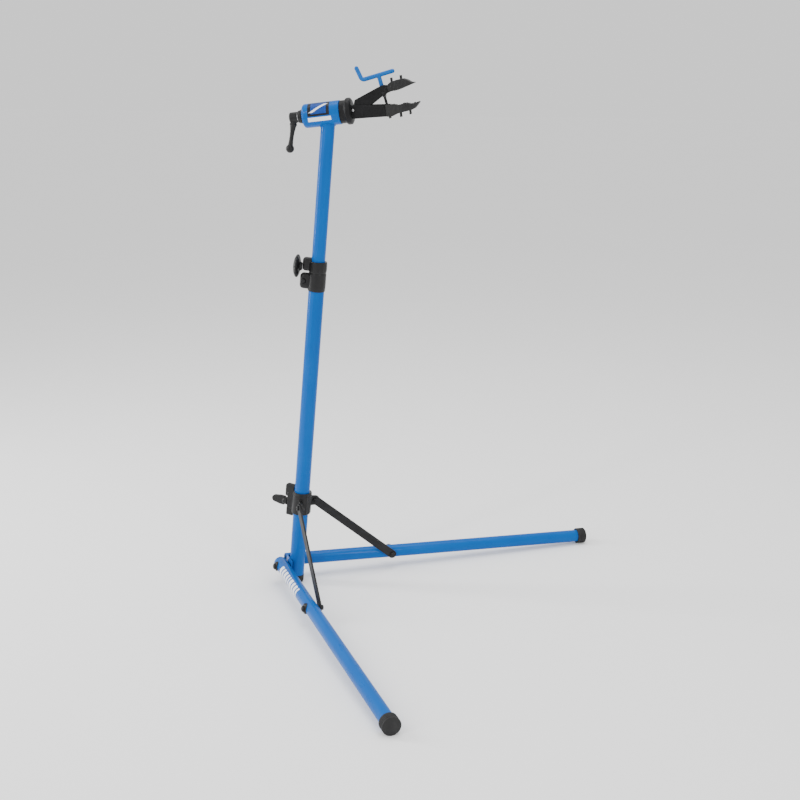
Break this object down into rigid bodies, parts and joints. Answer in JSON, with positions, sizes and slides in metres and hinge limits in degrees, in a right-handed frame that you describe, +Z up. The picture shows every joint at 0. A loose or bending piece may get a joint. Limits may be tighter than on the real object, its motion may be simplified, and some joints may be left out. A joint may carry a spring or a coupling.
{
  "type": "bicycle repair stand",
  "caption": "Folding bicycle repair stand: a leaning telescopic mast on splayed tube legs, with a turning head whose padded jaws are closed by a crank screw.",
  "frame": {"origin": "on the floor under the mast, at the middle of the flat underside of the mast's foot; the mast's axis passes through it", "axes": "+Z up from the floor; +X forward, the way the mast leans and the legs splay; +Y to the stand's left. The stand's own plane of symmetry is y = 0, but the head is turned 17 degrees to the left about the mast"},
  "size_m": [0.7592, 1.4224, 1.4954],
  "materials": {
    "blue_paint": "gloss",
    "black_plastic": "satin",
    "black_metal": "satin",
    "rubber": "matte",
    "steel": "satin",
    "black_steel": "satin",
    "nylon": "matte",
    "blue_vinyl": "satin"
  },
  "bodies": {
    "mast": {"lower_tube": "blue_paint", "mast_foot": "rubber", "pivot_block": "steel", "base_bracket": "blue_paint", "right_pivot_bolt": "black_steel", "left_pivot_bolt": "black_steel", "height_collar": "black_plastic", "collar_screw": "black_steel", "pressure_shoe": "nylon"},
    "right_leg": {"right_leg_tube": "blue_paint", "right_leg_cap": "rubber", "right_leg_plug": "black_plastic", "right_pivot_bush": "nylon", "right_pivot_washer": "black_plastic", "right_strut_washer": "black_plastic", "right_strut_bolt": "black_steel"},
    "left_leg": {"left_leg_tube": "blue_paint", "left_leg_cap": "rubber", "left_leg_plug": "black_plastic", "left_pivot_bush": "nylon", "left_pivot_washer": "black_plastic", "left_strut_washer": "black_plastic", "left_strut_bolt": "black_steel"},
    "leg_collar": {"leg_collar": "black_plastic", "leg_collar_bush": "nylon", "right_ear_bolt": "black_steel", "left_ear_bolt": "black_steel", "right_ear_nut": "black_steel", "left_ear_nut": "black_steel"},
    "leg_collar_knob": {"leg_collar_knob": "black_plastic", "leg_collar_stud": "steel"},
    "right_strut": {"right_strut": "black_steel", "right_strut_nut": "black_steel"},
    "left_strut": {"left_strut": "black_steel", "left_strut_nut": "black_steel"},
    "height_knob": {"height_knob": "black_plastic", "height_knob_stud": "steel"},
    "slider": {"tube_plug": "black_plastic"},
    "upper_mast": {"upper_tube": "blue_paint", "barrel": "blue_paint", "front_bush": "nylon", "rear_bush": "nylon", "thrust_washer": "black_plastic"},
    "clamp_head": {"head_spindle": "steel", "fixed_jaw": "black_metal", "lower_jaw_pad": "rubber", "hinge_pin": "steel"},
    "lock_lever": {"lock_lever": "black_plastic"},
    "upper_jaw": {"upper_jaw": "black_metal", "upper_jaw_pad": "rubber"},
    "jaw_trunnion": {"jaw_trunnion": "black_steel"},
    "lower_nut": {"lower_nut": "black_steel"},
    "crank": {"clamp_screw": "black_steel", "crank_handle": "blue_vinyl", "screw_clip": "black_steel"}
  },
  "joints": [
    {"name": "right_leg_fold", "type": "hinge", "parent": "mast", "child": "right_leg", "pos_m": [0.00516, 0, 0.05225], "axis": [-0.6863, -0.7242, 0.0678], "range_deg": [0, 81.83]},
    {"name": "left_leg_fold", "type": "hinge", "parent": "mast", "child": "left_leg", "pos_m": [0.00516, 0, 0.05225], "axis": [0.6863, -0.7242, -0.0678], "range_deg": [0, 81.83]},
    {"name": "leg_collar_slide", "type": "slide", "parent": "mast", "child": "leg_collar", "axis": [0.0983, 0, 0.9952], "range_m": [0, 0.42263]},
    {"name": "right_strut_swing", "type": "hinge", "parent": "leg_collar", "child": "right_strut", "pos_m": [0.05667, -0.03034, 0.24964], "axis": [-0.6863, -0.7242, 0.0678], "range_deg": [-56.05, 0]},
    {"name": "left_strut_swing", "type": "hinge", "parent": "leg_collar", "child": "left_strut", "pos_m": [0.05667, 0.03034, 0.24964], "axis": [0.6863, -0.7242, -0.0678], "range_deg": [-56.05, 0]},
    {"name": "leg_collar_knob_turn", "type": "hinge", "parent": "leg_collar", "child": "leg_collar_knob", "pos_m": [0.02418, 0, 0.24481], "axis": [-0.9952, 0, 0.0983], "range_deg": [-540, 0]},
    {"name": "height_knob_turn", "type": "hinge", "parent": "mast", "child": "height_knob", "pos_m": [0.0939, 0, 0.95088], "axis": [-0.9351, -0.342, 0.0924], "range_deg": [-540, 0]},
    {"name": "height_slide", "type": "slide", "parent": "mast", "child": "slider", "axis": [0.0983, 0, 0.9952], "range_m": [-0.335, 0.08]},
    {"name": "mast_swivel", "type": "hinge", "parent": "slider", "child": "upper_mast", "pos_m": [0.06879, 0, 0.69661], "axis": [0.0983, 0, 0.9952], "continuous": true},
    {"name": "head_spin", "type": "hinge", "parent": "upper_mast", "child": "clamp_head", "pos_m": [0.13537, 0, 1.37073], "axis": [0.9498, 0.2909, 0.1151], "continuous": true},
    {"name": "lock_lever_turn", "type": "hinge", "parent": "clamp_head", "child": "lock_lever", "pos_m": [0.04324, -0.02822, 1.35956], "axis": [0.9498, 0.2909, 0.1151], "range_deg": [-270, 0]},
    {"name": "upper_jaw_swing", "type": "hinge", "parent": "clamp_head", "child": "upper_jaw", "pos_m": [0.20171, 0.02028, 1.38018], "axis": [0.2959, -0.9548, -0.0292], "range_deg": [-13, 12]},
    {"name": "jaw_trunnion_turn", "type": "hinge", "parent": "upper_jaw", "child": "jaw_trunnion", "pos_m": [0.27887, 0.04282, 1.42492], "axis": [0.2959, -0.9548, -0.0292], "range_deg": [-6.1, 6.6]},
    {"name": "lower_nut_turn", "type": "hinge", "parent": "clamp_head", "child": "lower_nut", "pos_m": [0.2895, 0.04733, 1.38518], "axis": [0.2959, -0.9548, -0.0292], "range_deg": [-6.6, 6.1]},
    {"name": "crank_turn", "type": "hinge", "parent": "jaw_trunnion", "child": "crank", "pos_m": [0.27887, 0.04282, 1.42492], "axis": [-0.2568, -0.109, 0.9603], "range_deg": [-2443, 2255]}
  ],
  "couplings": [
    {"joint": "left_leg_fold", "follows": "right_leg_fold", "ratio": 1},
    {"joint": "leg_collar_slide", "follows": "right_leg_fold", "m_per_rad": 0.2958},
    {"joint": "right_strut_swing", "follows": "right_leg_fold", "ratio": -0.68439},
    {"joint": "left_strut_swing", "follows": "right_leg_fold", "ratio": -0.68439},
    {"joint": "jaw_trunnion_turn", "follows": "upper_jaw_swing", "ratio": -0.5},
    {"joint": "lower_nut_turn", "follows": "upper_jaw_swing", "ratio": 0.5},
    {"joint": "crank_turn", "follows": "upper_jaw_swing", "ratio": 187.75}
  ]
}
